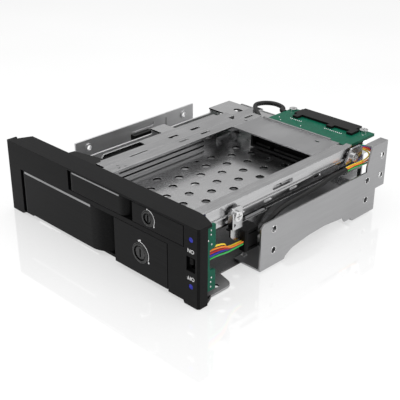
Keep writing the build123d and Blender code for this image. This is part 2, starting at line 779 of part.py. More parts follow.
def make_lower_host_sockets():
    with BuildPart() as sockets:
        for x0, x1 in host_socket_spans:
            block((x0, x1), (bracket_rear_depth, cage_depth), (host_socket_bottom, host_socket_top))
            block((x0 + 1.2, x1 - 1.2), (cage_depth - 5.6, cage_depth + 1),
                  (host_socket_bottom + 1.2, host_socket_top - 1.2), Mode.SUBTRACT)
            block((x0 + 2.2, x1 - 2.2), (cage_depth - 6.0, cage_depth - 0.8),
                  (host_socket_bottom + 2.4, host_socket_bottom + 3.6))
    return sockets.part


def make_upper_host_sockets():
    top = upper_board_top + 1.4
    with BuildPart() as sockets:
        prism_up(
            [
                (9.7, 146.5), (12.0, 146.5), (12.0, 142.0), (15.6, 142.0), (15.6, 146.5), (35.6, 146.5),
                (35.6, 143.4), (39.5, 143.4), (39.5, 146.5), (50.0, 146.5), (50.0, 143.0), (53.6, 143.0),
                (53.6, 150.4), (51.4, 150.4), (51.4, 156.4), (10.2, 156.4),
                (10.2, 154.5), (9.7, 154.5),
            ],
            upper_board_top, top,
        )
        block((10.2, 51.4), (upper_board_rear, 156.4), (33.0, top))
        for x0, x1 in ((10.2, 26.0), (28.0, 51.4)):
            block((x0, x1), (147.0, 156.4), (33.0, upper_board_top - board_thickness))
            block((x0 + 1.2, x1 - 1.2), (150.6, 158.0), (34.2, 37.2), Mode.SUBTRACT)
            block((x0 + 2.2, x1 - 2.2), (150.0, 155.8), (35.2, 36.2))
    return sockets.part


wire_header_depths = (134.6, 144.0)


def make_wire_header():
    with BuildPart() as header:
        block((55.5, 60.4), wire_header_depths, (34.6, upper_board_top - board_thickness))
        block((54.5, 55.5), (wire_header_depths[0] + 1.4, wire_header_depths[1] - 1.4), (36.0, 37.4))
        for index in range(5):
            depth = wire_header_depths[0] + 1.3 + wire_pitch * index
            round_across(depth, 36.4, wire_radius + close_gap, 59.0, 62.0, Mode.SUBTRACT)
    return header.part


# lamp and switch board, which stands edge on behind the right column
lamp_board_outer = half_bezel - bezel_side_thickness
lamp_board_inner = lamp_board_outer - board_thickness


def make_led_board():
    with BuildPart() as board:
        prism_across(
            [
                (front_thickness, 6.3), (12.2, 6.3), (12.2, 16.7), (8.4, 17.6), (8.4, 28.0), (12.2, 28.9),
                (12.2, ledge_bottom), (front_thickness, ledge_bottom),
            ],
            lamp_board_inner, lamp_board_outer, rounding=1.2, corners=[(12.2, 6.3), (12.2, 16.7), (12.2, 28.9)],
        )
    return board.part


def make_lamp(lamp_z):
    with BuildPart() as lamp:
        round_back(lamp_x, lamp_z, lamp_radius, 0.15, 6.0)
        block((lamp_x - 1.6, lamp_board_inner), (5.0, 9.0), (lamp_z - 1.6, lamp_z + 1.6))
    return lamp.part


knob_height = 2.8
knob_travel = 3.0
switch_top = switch_z + knob_height / 2 + knob_travel / 2


def make_switch_body():
    with BuildPart() as body:
        block((switch_x - 2.4, lamp_board_inner), (front_thickness, 7.0), (switch_z - 5.0, switch_z + 5.0))
        block((switch_x - 1.7, switch_x + 1.7), (front_thickness - 1, 4.8),
              (switch_z - 3.3, switch_z + 3.3), Mode.SUBTRACT)
    return body.part


def make_switch_knob():
    with BuildPart() as knob:
        block((switch_x - 1.1, switch_x + 1.1), (0.5, 4.4), (switch_top - knob_height, switch_top))
        for index in range(3):
            low = switch_top - knob_height + 0.5 + 0.75 * index
            block((switch_x - 2, switch_x + 2), (0, 0.9), (low, low + 0.35), Mode.SUBTRACT)
    return knob.part


# flaps: panel, grip, finger gap, web and lock housing in one moulding
knuckle_radius = 3.2
pin_clearance = 0.05
lug_gap = 0.3
lug_thickness = 1.9
tongue_half = ejector_sheet / 2
lower_tongue_z = 16.75
upper_tongue_z = 35.75
lower_hinge_x = lower_door_left + hinge_inset
upper_hinge_x = upper_door_left + hinge_inset
lower_panel_right = -3.0
lower_lock_left = 15.4
lower_grip_radius = 14.0
upper_panel_right = 20.0
upper_lock_left = 29.6
upper_grip_radius = 6.0
grip_wall = 1.8
trim_depth = 0.8
lower_trim_height = 1.2
upper_trim_height = 0.7


def make_flap(span, panel_right, grip_radius, lock_left, heights, wall, lock, tongue_z, trim_height):
    left, right = span
    bottom, top = heights
    lock_x, lock_z, barrel_radius = lock
    hinge_x = left + hinge_inset
    boss_radius = barrel_radius + 1.6
    with BuildPart() as flap:
        block((hinge_x, panel_right), (0, panel_thickness), heights)
        round_up(hinge_x, hinge_depth, knuckle_radius, bottom, top)
        # grip that curves back like part of a barrel
        with BuildSketch(Plane.XY.offset(bottom)) as grip:
            with Locations((panel_right, back(grip_radius))):
                Circle(grip_radius)
                Circle(grip_radius - grip_wall, mode=Mode.SUBTRACT)
            with Locations((panel_right, back(0))):
                Rectangle(grip_radius, min(grip_radius, web_front), align=(Align.MIN, Align.MIN),
                          mode=Mode.INTERSECT)
        extrude(grip.sketch, amount=top - bottom)
        grip_end = panel_right + grip_radius
        if grip_radius < web_front:
            block((grip_end - grip_wall, grip_end), (grip_radius, web_front), heights)
        # floor and roof of the grip
        for z_range in ((bottom, bottom + wall), (top - wall, top)):
            with BuildSketch(Plane.XY.offset(z_range[0])) as end:
                with Locations((panel_right, back(grip_radius))):
                    Circle(grip_radius - 0.2)
                with Locations((panel_right, back(0))):
                    Rectangle(grip_radius, min(grip_radius, web_front), align=(Align.MIN, Align.MIN),
                              mode=Mode.INTERSECT)
            extrude(end.sketch, amount=wall)
        block((panel_right, panel_right + 1.4), (0.3, web_front), heights)
        # web behind the finger gap
        web_left = panel_right + grip_radius * 0.72
        block((web_left, lock_left + 1.6), (web_front, web_back), heights)
        # lock housing, open at the back
        block((lock_left, right), (0, lock_block_depth), heights)
        block((lock_left + wall, right - wall), (2.0, lock_block_depth + 1), (bottom + wall, top - wall),
              Mode.SUBTRACT)
        block((lock_left, lock_left + 1.6), (0, web_back), heights)
        if top - bottom > 2 * boss_radius:
            round_back(lock_x, lock_z, boss_radius, 1.0, lock_block_depth - 0.1)
            block((lock_left + 1, right - 1), (1.5, 7.0), (lock_z - 0.7, lock_z + 0.7))
            block((lock_x - 0.7, lock_x + 0.7), (1.5, 7.0), (bottom + 1, top - 1))
        else:
            block((lock_x - boss_radius, lock_x + boss_radius), (1.0, lock_block_depth - 0.1),
                  (bottom + 0.2, top - 0.2))
        round_back(lock_x, lock_z, barrel_radius + pin_clearance, -1, web_back + 2, Mode.SUBTRACT)
        # ribs behind the panel
        for rib_x in (hinge_x + 16.0, (hinge_x + 16.0 + panel_right) / 2):
            block((rib_x, rib_x + 1.2), (panel_thickness - 0.2, 4.6), (bottom + 1, top - 1))
        for low in (bottom + 1.2, top - 2.4):
            block((hinge_x + 16.0, panel_right), (panel_thickness - 0.2, 4.6), (low, low + 1.2))
        # two lugs that hold the crank pin
        for low in (tongue_z - tongue_half - lug_gap - lug_thickness, tongue_z + tongue_half + lug_gap):
            with BuildSketch(Plane.XY.offset(low)) as lug:
                with Locations((hinge_x + crank_arm / 2, back(hinge_depth + crank_arm / 2))):
                    SlotCenterToCenter(crank_arm * 2 ** 0.5, 4.8, rotation=45)
            extrude(lug.sketch, amount=lug_thickness)
            round_up(hinge_x + crank_arm, hinge_depth + crank_arm, ejector_pin_radius, low - 1,
                     low + lug_thickness + 1, Mode.SUBTRACT)
        round_up(hinge_x, hinge_depth, hinge_pin_radius + pin_clearance, bottom - 1, top + 1, Mode.SUBTRACT)
        # seat of the bright trim strip
        block((hinge_x, panel_right + 0.01), (-1, trim_depth), (top - trim_height, top + 1), Mode.SUBTRACT)
    return flap.part


def make_trim(hinge_x, panel_right, top, height):
    with BuildPart() as trim:
        block((hinge_x, panel_right), (0, trim_depth), (top - height, top))
    return trim.part


def make_hinge_pin(hinge_x, z_range):
    with BuildPart() as pin:
        round_up(hinge_x, hinge_depth, hinge_pin_radius, *z_range)
        chamfer(pin.edges().filter_by(GeomType.CIRCLE), 0.25)
    return pin.part


def make_crank_pin(hinge_x, tongue_z):
    half = tongue_half + lug_gap + lug_thickness
    with BuildPart() as pin:
        round_up(hinge_x + crank_arm, hinge_depth + crank_arm, ejector_pin_radius, tongue_z - half, tongue_z + half)
        chamfer(pin.edges().filter_by(GeomType.CIRCLE), 0.2)
    return pin.part


def make_lock(lock_x, lock_z, radius, reach):
    """Lock barrel with a key slit and a cam on its rear end, shown unlocked."""
    cam_half = radius * 0.42
    with BuildPart() as lock:
        round_back(lock_x, lock_z, radius, -lock_proud, 8.6)
        chamfer(lock.edges().filter_by(GeomType.CIRCLE).sort_by(Axis.Y)[0], 0.4)
        # recessed face round the key plug
        round_back(lock_x, lock_z, radius - 1.1, -1, 0.8, Mode.SUBTRACT)
        round_back(lock_x, lock_z, radius - 1.9, 0.1, 1.0)
        block((lock_x - 0.45, lock_x + 0.45), (-1, 4.0), (lock_z - radius * 0.45, lock_z + radius * 0.45),
              Mode.SUBTRACT)
        round_back(lock_x, lock_z, cam_half, 8.6, cam_front + cam_thickness)
        tip = lock_x - reach + cam_half
        plane = Plane(origin=(0, back(cam_front), 0), x_dir=(1, 0, 0), z_dir=(0, -1, 0))
        with BuildSketch(plane) as cam:
            with Locations(((tip + lock_x) / 2, lock_z)):
                SlotCenterToCenter(lock_x - tip, 2 * cam_half)
        extrude(cam.sketch, amount=-cam_thickness)
    return lock.part


# ejector bars, the linkage that the flaps drive
lower_hook_inner = -45.5
upper_hook_inner = -4.0
bar_half_height = 3.0


def make_ejector(hinge_x, tongue_z, hook_front, hook_inner):
    pin_x = hinge_x + crank_arm
    pin_depth = hinge_depth + crank_arm
    bar_left = pin_x - 0.6
    bar_right = bar_left + ejector_sheet
    slot_half = ejector_pin_radius + cross_slot_gap
    fork_right = hinge_x + tine_end
    fork_left = hinge_x + knuckle_radius + 0.4
    slot_end = pin_x - ejector_pin_radius - 0.2
    z_low = tongue_z - bar_half_height
    z_high = tongue_z + bar_half_height
    with BuildPart() as bar:
        # fork with the cross slot for the crank pin
        prism_up(
            [
                (fork_left, tongue_front), (fork_right, tongue_front), (fork_right, pin_depth - slot_half),
                (slot_end, pin_depth - slot_half), (slot_end, pin_depth + slot_half),
                (fork_right, pin_depth + slot_half), (fork_right, 12.2), (bar_right, 12.2),
                (bar_right, bar_front + 3.0), (fork_left, bar_front),
            ],
            tongue_z - tongue_half, tongue_z + tongue_half,
        )
        block((bar_left, bar_right), (bar_front, hook_front + ejector_sheet), (z_low, z_high))
        block((bar_left, hook_inner), (hook_front, hook_front + ejector_sheet), (z_low, z_high))
        # long relief windows along the bar
        length = hook_front - bar_front
        for share in (0.32, 0.56, 0.8):
            middle = bar_front + share * length
            slot_across((middle - 6.0, middle + 6.0), (tongue_z - 1.2, tongue_z + 1.2),
                        (bar_left - 1, bar_right + 1))
    return bar.part


def make_upper_ejector_guide():
    bar_left = upper_hinge_x + crank_arm - 0.6
    bar_top = upper_tongue_z + bar_half_height
    bar_bottom = upper_tongue_z - bar_half_height
    wall_x = (-14.0, bar_left - part_gap)
    with BuildPart() as guide:
        prism_up([(-42.0, mid_bar_depth), (-22.0, mid_bar_depth), (-22.0, 15.0), (-17.6, 16.0),
                  (-17.6, 24.0), (-22.4, 24.0), (-40.0, 20.0)], 38.0, 39.4)
        block((-21.8, -13.0), (16.0, 52.0), (deck_top, 38.4))
        block((-20.4, -14.6), (17.6, 50.4), (31.6, 39.0), Mode.SUBTRACT)
        for depth in (28.0, 39.0):
            block((-21.0, -14.0), (depth, depth + 1.4), (deck_top, 37.4))
        block(wall_x, (16.0, 100.0), (deck_top, cage_top - sheet))
        for depth_range in ((20.0, 50.0), (84.0, 98.0)):
            block((wall_x[1] - 0.5, -9.7), depth_range, (bar_top + part_gap, cage_top - sheet))
            block((wall_x[1] - 0.5, -9.7), depth_range, (deck_top, bar_bottom - part_gap))
    return guide.part


def make_lower_ejector_guide():
    bar_left = lower_hinge_x + crank_arm - 0.6
    bar_top = lower_tongue_z + bar_half_height
    bar_bottom = lower_tongue_z - bar_half_height
    wall_x = (-58.6, bar_left - part_gap)
    with BuildPart() as guide:
        block(wall_x, (64.0, 102.0), (sheet, 4.0))
        block((wall_x[1] - 1.8, wall_x[1]), (64.0, 102.0), (sheet, 24.0))
        block(wall_x, (76.0, 90.0), (sheet, 27.6))
        block((wall_x[0] + 1.4, wall_x[1] - 1.8), (77.4, 88.6), (4.0, 30.0), Mode.SUBTRACT)
        block(wall_x, (98.0, 102.0), (sheet, 26.4))
        for depth_range in ((66.0, 76.0), (90.0, 100.0)):
            block((wall_x[1] - 0.5, -52.7), depth_range, (bar_top + part_gap, bar_top + 2.2))
            block((wall_x[1] - 0.5, -52.7), depth_range, (bar_bottom - 2.2, bar_bottom - part_gap))
    return guide.part


# cable from the lamp board to the rear board
wire_radius = 0.42
bundle_step = 0.62
wire_pitch = 1.7
bundle_offsets = ((-1, 1), (1, 1), (0, 0), (-1, -1), (1, -1))
clip_outer = body_half_width - 4.6
clip_width = 4.1
clip_front = 38.4
clip_bottom = 13.0
clip_top = 24.4
clip_rear = 48.0
bundle_x = body_half_width - 7.0
bundle_z = 17.6
sleeve_radius = 1.35
sleeve_start_z = 19.0
sleeve_end = (clip_outer, 118.6, 31.4)


def make_harness_clip():
    with BuildPart() as clip:
        block((clip_outer - clip_width, clip_outer), (clip_front, clip_rear), (clip_bottom, clip_top))
        for height in (clip_bottom + 1.2, clip_top - 2.4):
            slot_across((clip_front + 2, clip_rear - 2), (height, height + 1.0),
                        (clip_outer - 0.8, clip_outer + 1.6))
        chamfer(clip.edges().filter_by(Axis.Z).sort_by(Axis.X)[-2:], 0.8)
    return clip.part


def path_points(points):
    return [(x, back(depth), z) for x, depth, z in points]


def round_cable(points, radius, start_way, end_way):
    """Round cable along a smooth curve through the points, with its two end directions."""
    with BuildLine() as path:
        Spline(*path_points(points), tangents=(start_way, end_way))
    with BuildSketch(Plane(origin=path.line @ 0, z_dir=path.line % 0)) as section:
        Circle(radius)
    sweep(section.sketch, path=path.line)
    return path.edges()[0].length


def make_wire(index):
    side, rise = bundle_offsets[index]
    side *= bundle_step
    rise *= bundle_step
    start_z = 27.4 - 1.4 * index
    start_x = lamp_board_inner - wire_radius
    end_depth = wire_header_depths[0] + 1.3 + wire_pitch * index
    with BuildPart() as wire:
        front_length = round_cable(
            [
                (start_x, 7.0, start_z), (start_x - 0.2, 13.0, start_z - 0.1),
                (70.2 + side * 0.6, 21.0, start_z - 0.25 * (start_z - bundle_z - rise)),
                (bundle_x + side, clip_front, bundle_z + rise),
            ],
            wire_radius, (0, 1, 0), (0, 1, 0),
        )
        x, depth, z = sleeve_end
        rear_length = round_cable(
            [
                (x + side, depth, z + rise), (x + side, depth + 8.0, z + rise),
                (69.4 + side, 135.0 + 1.5 * index, 31.8 + rise),
                (68.8 + side * 0.5, 139.6 + wire_pitch * index, 34.2 + rise * 0.5),
                (65.4, end_depth + 2.4, 36.5), (61.8, end_depth + 0.3, 36.5), (59.0, end_depth, 36.4),
            ],
            wire_radius, (0, 1, 0), (-1, 0, 0),
        )
    print("wire", index, "front", round(front_length, 1), "rear", round(rear_length, 1))
    return wire.part


def make_harness_sleeve():
    with BuildPart() as sleeve:
        length = round_cable(
            [
                (66.4, clip_rear, sleeve_start_z), (66.6, 53.0, 20.6), (67.4, 61.0, 25.6), (68.0, 80.0, 28.6),
                (68.4, 100.0, 30.6), sleeve_end,
            ],
            sleeve_radius, (0, 1, 0), (0, 1, 0),
        )
    print("sleeve", round(length, 1))
    return sleeve.part


def make_rear_cable():
    with BuildPart() as cable:
        length = round_cable(
            [
                (-5.0, 129.0, 38.0), (-9.0, 134.6, 39.0), (-14.6, 139.0, 39.5), (-18.6, 145.0, 39.5),
                (-15.6, 151.4, 39.5), (-8.0, 153.6, 39.3), (-2.4, 150.6, 39.2), (2.0, 147.6, 39.2),
            ],
            1.4, (0, 1, 0), (1, 0, 0),
        )
    print("rear cable", round(length, 1))
    return cable.part


# screws and rivets
def make_clip_screws():
    with BuildPart() as screws:
        for depth, height in clip_screws:
            round_across(depth, height, clip_screw_radius, upper_right_inner, clip_x + sheet)
            round_across(depth, height, 2.6, clip_x + sheet, clip_x + sheet + 1.4)
            block((clip_x + sheet + 0.8, clip_x + 4), (depth - 1.7, depth + 1.7), (height - 0.3, height + 0.3),
                  Mode.SUBTRACT)
            block((clip_x + sheet + 0.8, clip_x + 4), (depth - 0.3, depth + 0.3), (height - 1.7, height + 1.7),
                  Mode.SUBTRACT)
    return screws.part


def make_flange_rivets():
    with BuildPart() as rivets:
        for x in (-57.3, 57.3):
            for depth in (50.0, 128.0):
                round_up(x, depth, 1.7, 2 * sheet, 2 * sheet + 0.8)
        chamfer(rivets.edges().filter_by(GeomType.CIRCLE).group_by(Axis.Z)[-1], 0.35)
    return rivets.part


lower_span = (lower_door_left, lower_door_right)
upper_span = (upper_door_left, upper_door_right)
lower_heights = (lower_door_bottom, lower_door_top)
upper_heights = (upper_door_bottom, upper_door_top)

parts = {
    "bezel": make_bezel(),
    "base_tray": make_base_tray(),
    "right_side_plate": make_right_side_plate(),
    "left_side_plate": make_left_side_plate(),
    "lower_guide_left": make_lower_guide_left(),
    "lower_guide_right": make_lower_guide_right(),
    "deck": make_deck(),
    "bay_rail_right": make_bay_rail_right(),
    "bay_rail_left": make_bay_rail_left(),
    "ejector_channel": make_ejector_channel(),
    "side_bracket": make_side_bracket(),
    "rear_cover": make_rear_cover(),
    "rear_bracket": make_rear_bracket(),
    "upper_board": make_upper_board(),
    "upper_standoffs": make_upper_standoffs(),
    "upper_board_screws": make_upper_board_screws(),
    "upper_connector": make_upper_connector(),
    "upper_host_sockets": make_upper_host_sockets(),
    "lower_board": make_lower_board(),
    "lower_board_screws": make_lower_board_screws(),
    "lower_connector": make_lower_connector(),
    "lower_host_sockets": make_lower_host_sockets(),
    "wire_header": make_wire_header(),
    "led_board": make_led_board(),
    "upper_lamp": make_lamp(upper_lamp_z),
    "lower_lamp": make_lamp(lower_lamp_z),
    "switch_body": make_switch_body(),
    "switch_knob": make_switch_knob(),
    "harness_clip": make_harness_clip(),
    "wire_yellow": make_wire(0),
    "wire_orange": make_wire(1),
    "wire_red": make_wire(2),
    "wire_blue": make_wire(3),
    "wire_green": make_wire(4),
    "harness_sleeve": make_harness_sleeve(),
    "rear_cable": make_rear_cable(),
    "clip_screws": make_clip_screws(),
    "flange_rivets": make_flange_rivets(),
    "lower_flap": make_flap(
        lower_span, lower_panel_right, lower_grip_radius, lower_lock_left, lower_heights, 1.8,
        (lower_lock_x, lower_lock_z, lower_barrel_radius), lower_tongue_z, lower_trim_height),
    "lower_trim": make_trim(lower_hinge_x, lower_panel_right, lower_door_top, lower_trim_height),
    "lower_hinge_pin": make_hinge_pin(lower_hinge_x, (sill_bottom + 0.6, mid_bar_top - 0.8)),
    "lower_crank_pin": make_crank_pin(lower_hinge_x, lower_tongue_z),
    "lower_lock": make_lock(lower_lock_x, lower_lock_z, lower_barrel_radius, lower_cam_reach),
    "lower_ejector": make_ejector(lower_hinge_x, lower_tongue_z, large_drive_rear + part_gap, lower_hook_inner),
    "lower_ejector_guide": make_lower_ejector_guide(),
    "upper_flap": make_flap(
        upper_span, upper_panel_right, upper_grip_radius, upper_lock_left, upper_heights, 1.4,
        (upper_lock_x, upper_lock_z, upper_barrel_radius), upper_tongue_z, upper_trim_height),
    "upper_trim": make_trim(upper_hinge_x, upper_panel_right, upper_door_top, upper_trim_height),
    "upper_hinge_pin": make_hinge_pin(upper_hinge_x, (mid_bar_bottom + 0.8, bezel_height - 0.5)),
    "upper_crank_pin": make_crank_pin(upper_hinge_x, upper_tongue_z),
    "upper_lock": make_lock(upper_lock_x, upper_lock_z, upper_barrel_radius, upper_cam_reach),
    "upper_ejector": make_ejector(upper_hinge_x, upper_tongue_z, small_drive_rear + part_gap, upper_hook_inner),
    "upper_ejector_guide": make_upper_ejector_guide(),
}

os.makedirs("parts", exist_ok=True)
for name, part in parts.items():
    part.label = name
    export_step(part, f"parts/{name}.step")
print(len(parts), "parts written")
print("ejector coupling", round(ejector_travel / 1000 / (pi / 2), 7), "metres for each radian")
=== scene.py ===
import math

import bpy
from mathutils import Matrix, Vector


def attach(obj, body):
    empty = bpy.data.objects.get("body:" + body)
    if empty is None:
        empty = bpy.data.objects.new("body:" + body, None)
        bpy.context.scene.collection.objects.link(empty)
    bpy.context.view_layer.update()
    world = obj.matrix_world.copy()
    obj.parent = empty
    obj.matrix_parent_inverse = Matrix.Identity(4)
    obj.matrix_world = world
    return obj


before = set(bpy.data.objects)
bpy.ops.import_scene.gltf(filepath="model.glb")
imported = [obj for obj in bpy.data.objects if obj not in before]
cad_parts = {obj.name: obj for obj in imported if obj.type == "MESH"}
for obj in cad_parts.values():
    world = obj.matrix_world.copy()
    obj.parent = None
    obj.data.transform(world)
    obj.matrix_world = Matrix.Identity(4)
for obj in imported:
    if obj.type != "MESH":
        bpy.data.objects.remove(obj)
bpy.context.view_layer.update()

MM = 0.001
FRONT_Y = -84.85 * MM
EDGE_RADIUS = 0.25 * MM
PAINTED_SHADE_REACH = 40 * MM


# material building blocks
def new_material(name):
    material = bpy.data.materials.new(name)
    material.use_nodes = True
    nodes = material.node_tree.nodes
    return material, nodes, material.node_tree.links, nodes["Principled BSDF"]


def stretched_noise(nodes, links, stretch, scale, detail):
    """Noise drawn out along the axis that has the small stretch value, for brushing and grain."""
    place = nodes.new("ShaderNodeTexCoord")
    mapping = nodes.new("ShaderNodeMapping")
    mapping.inputs["Scale"].default_value = stretch
    noise = nodes.new("ShaderNodeTexNoise")
    noise.inputs["Scale"].default_value = scale
    noise.inputs["Detail"].default_value = detail
    links.new(place.outputs["Object"], mapping.inputs["Vector"])
    links.new(mapping.outputs["Vector"], noise.inputs["Vector"])
    return noise.outputs["Fac"]


def spread(nodes, links, value, low_value, high_value, from_min=0.3, from_max=0.7):
    """Value between from_min and from_max, drawn out to low_value and high_value."""
    remap = nodes.new("ShaderNodeMapRange")
    remap.inputs["From Min"].default_value = from_min
    remap.inputs["From Max"].default_value = from_max
    remap.inputs["To Min"].default_value = low_value
    remap.inputs["To Max"].default_value = high_value
    links.new(value, remap.inputs["Value"])
    return remap.outputs["Result"]


def two_tone(nodes, links, value, dark, light, from_min=0.3, from_max=0.7):
    """Colour that goes from dark to light as the value goes from from_min to from_max."""
    ramp = nodes.new("ShaderNodeValToRGB")
    ramp.color_ramp.elements[0].position = from_min
    ramp.color_ramp.elements[0].color = (*dark, 1)
    ramp.color_ramp.elements[1].position = from_max
    ramp.color_ramp.elements[1].color = (*light, 1)
    links.new(value, ramp.inputs["Fac"])
    return ramp.outputs["Color"]


def relief(nodes, links, shader, value, distance, strength):
    """Fine surface relief over edges that look slightly rounded."""
    edge = nodes.new("ShaderNodeBevel")
    edge.samples = 4
    edge.inputs["Radius"].default_value = EDGE_RADIUS
    bump = nodes.new("ShaderNodeBump")
    bump.inputs["Distance"].default_value = distance
    bump.inputs["Strength"].default_value = strength
    links.new(edge.outputs["Normal"], bump.inputs["Normal"])
    links.new(value, bump.inputs["Height"])
    links.new(bump.outputs["Normal"], shader.inputs["Normal"])


def dimmed(nodes, links, colour, share):
    """Colour multiplied by a share that varies over the surface."""
    dim = nodes.new("ShaderNodeVectorMath")
    dim.operation = "SCALE"
    links.new(colour, dim.inputs[0])
    links.new(share, dim.inputs["Scale"])
    return dim.outputs["Vector"]


def darken_edges_with_painted_shade(nodes, links, colour):
    """Colour of a flat lying sheet, kept on its faces and darkened nearly to black where its surface stands
    upright: duller sheared steel in part, painted shade on cut edges and hole walls for the most part.
    """
    place = nodes.new("ShaderNodeTexCoord")
    split = nodes.new("ShaderNodeSeparateXYZ")
    links.new(place.outputs["Normal"], split.inputs["Vector"])
    size = nodes.new("ShaderNodeMath")
    size.operation = "ABSOLUTE"
    links.new(split.outputs["Z"], size.inputs[0])
    return dimmed(nodes, links, colour, spread(nodes, links, size.outputs["Value"], 0.06, 1.0, 0.3, 0.8))


def paint_enclosed_shade(nodes, links, colour):
    """Colour darkened as painted shade by an occlusion node, where other pieces stand close over the surface.
    """
    cover = nodes.new("ShaderNodeAmbientOcclusion")
    cover.inputs["Distance"].default_value = PAINTED_SHADE_REACH
    return dimmed(nodes, links, colour, spread(nodes, links, cover.outputs["AO"], 0.04, 1.0, 0.3, 0.65))


def brushed_plastic(name, dark, light, rough_low, rough_high):
    """Black moulding with a fine brushed grain drawn along X."""
    material, nodes, links, shader = new_material(name)
    shader.inputs["Specular IOR Level"].default_value = 0.08
    grain = stretched_noise(nodes, links, (12, 700, 700), 3.0, 6.0)
    links.new(two_tone(nodes, links, grain, dark, light), shader.inputs["Base Color"])
    links.new(spread(nodes, links, grain, rough_low, rough_high), shader.inputs["Roughness"])
    relief(nodes, links, shader, grain, 0.00003, 0.35)
    return material


def grained_plastic(name, dark, light, roughness):
    """Plain moulding with a fine spark-eroded grain."""
    material, nodes, links, shader = new_material(name)
    shader.inputs["Specular IOR Level"].default_value = 0.12
    grain = stretched_noise(nodes, links, (1, 1, 1), 900.0, 3.0)
    links.new(two_tone(nodes, links, grain, dark, light), shader.inputs["Base Color"])
    links.new(spread(nodes, links, grain, roughness - 0.05, roughness + 0.08), shader.inputs["Roughness"])
    relief(nodes, links, shader, grain, 0.00003, 0.25)
    return material


def sheet_metal(name, dark, light, rough_low, rough_high, stretch=(300, 12, 300), dull_and_shaded_edges=False,
                painted_shade=False):
    """Plated sheet with rolling marks along the depth and faint clouding.

    With the edge switch, the cut edges and hole walls of a flat lying sheet stay dark: duller sheared steel
    without plating in part, painted shade for the most part.
    With the shade switch, the colour is darkened as painted shade where other pieces stand close over the
    sheet.
    """
    material, nodes, links, shader = new_material(name)
    shader.inputs["Metallic"].default_value = 1.0
    grain = stretched_noise(nodes, links, stretch, 3.0, 5.0)
    cloud = stretched_noise(nodes, links, (1, 1, 1), 38.0, 2.0)
    blend = nodes.new("ShaderNodeMath")
    blend.operation = "MULTIPLY_ADD"
    blend.inputs[1].default_value = 0.5
    links.new(grain, blend.inputs[0])
    half_cloud = spread(nodes, links, cloud, 0.0, 0.5, 0.0, 1.0)
    links.new(half_cloud, blend.inputs[2])
    mixed = blend.outputs["Value"]
    colour = two_tone(nodes, links, mixed, dark, light, 0.35, 0.65)
    if dull_and_shaded_edges:
        colour = darken_edges_with_painted_shade(nodes, links, colour)
    if painted_shade:
        colour = paint_enclosed_shade(nodes, links, colour)
    links.new(colour, shader.inputs["Base Color"])
    links.new(spread(nodes, links, mixed, rough_low, rough_high, 0.35, 0.65), shader.inputs["Roughness"])
    relief(nodes, links, shader, grain, 0.00002, 0.2)
    return material


def circuit_board(name):
    """Green solder mask over copper tracks, drawn as faint cell edges."""
    material, nodes, links, shader = new_material(name)
    shader.inputs["Specular IOR Level"].default_value = 0.12
    place = nodes.new("ShaderNodeTexCoord")
    cells = nodes.new("ShaderNodeTexVoronoi")
    cells.feature = "DISTANCE_TO_EDGE"
    cells.distance = "MANHATTAN"
    cells.inputs["Scale"].default_value = 160.0
    links.new(place.outputs["Object"], cells.inputs["Vector"])
    mask = two_tone(nodes, links, cells.outputs["Distance"], (0.001, 0.086, 0.049), (0.001, 0.074, 0.042),
                    0.02, 0.10)
    links.new(mask, shader.inputs["Base Color"])
    grain = stretched_noise(nodes, links, (1, 1, 1), 500.0, 3.0)
    links.new(spread(nodes, links, grain, 0.28, 0.42), shader.inputs["Roughness"])
    relief(nodes, links, shader, cells.outputs["Distance"], 0.00003, 0.2)
    return material


def cable_cover(name, colour):
    """Soft plastic cover with a faint mottle."""
    material, nodes, links, shader = new_material(name)
    shader.inputs["Specular IOR Level"].default_value = 0.25
    grain = stretched_noise(nodes, links, (1, 1, 1), 700.0, 3.0)
    darker = tuple(channel * 0.8 for channel in colour)
    links.new(two_tone(nodes, links, grain, darker, colour), shader.inputs["Base Color"])
    links.new(spread(nodes, links, grain, 0.39, 0.53), shader.inputs["Roughness"])
    relief(nodes, links, shader, grain, 0.00003, 0.2)
    return material


def lamp_glow(name):
    """Blue lens that gives off a little light of its own."""
    material, nodes, links, shader = new_material(name)
    shader.inputs["Specular IOR Level"].default_value = 0.15
    grain = stretched_noise(nodes, links, (1, 1, 1), 500.0, 2.0)
    glow = two_tone(nodes, links, grain, (0.006, 0.008, 0.16), (0.018, 0.024, 0.32))
    links.new(glow, shader.inputs["Base Color"])
    links.new(glow, shader.inputs["Emission Color"])
    shader.inputs["Emission Strength"].default_value = 0.3
    links.new(spread(nodes, links, grain, 0.18, 0.3), shader.inputs["Roughness"])
    return material


def print_and_glint_ink(name, colour):
    """Opaque print with a faint mottle; it also gives the grey lock rings, which are a painted highlight."""
    material, nodes, links, shader = new_material(name)
    grain = stretched_noise(nodes, links, (1, 1, 1), 1500.0, 3.0)
    dull = tuple(channel * 0.8 for channel in colour)
    links.new(two_tone(nodes, links, grain, dull, colour), shader.inputs["Base Color"])
    links.new(spread(nodes, links, grain, 0.4, 0.6), shader.inputs["Roughness"])
    return material


face_black = brushed_plastic("face_black", (0.001, 0.001, 0.0012), (0.0064, 0.0064, 0.0067), 0.32, 0.5)
flap_black = brushed_plastic("flap_black", (0.0014, 0.0014, 0.0016), (0.0088, 0.0088, 0.0092), 0.28, 0.46)
plain_black = grained_plastic("plain_black", (0.003, 0.003, 0.003), (0.006, 0.006, 0.006), 0.42)
socket_black = grained_plastic("socket_black", (0.003, 0.003, 0.003), (0.006, 0.006, 0.006), 0.36)
plate_steel = sheet_metal("plate_steel", (0.33, 0.33, 0.335), (0.38, 0.38, 0.385), 0.30, 0.40)
bright_sheet = sheet_metal("bright_sheet", (0.46, 0.46, 0.465), (0.55, 0.55, 0.555), 0.17, 0.27)
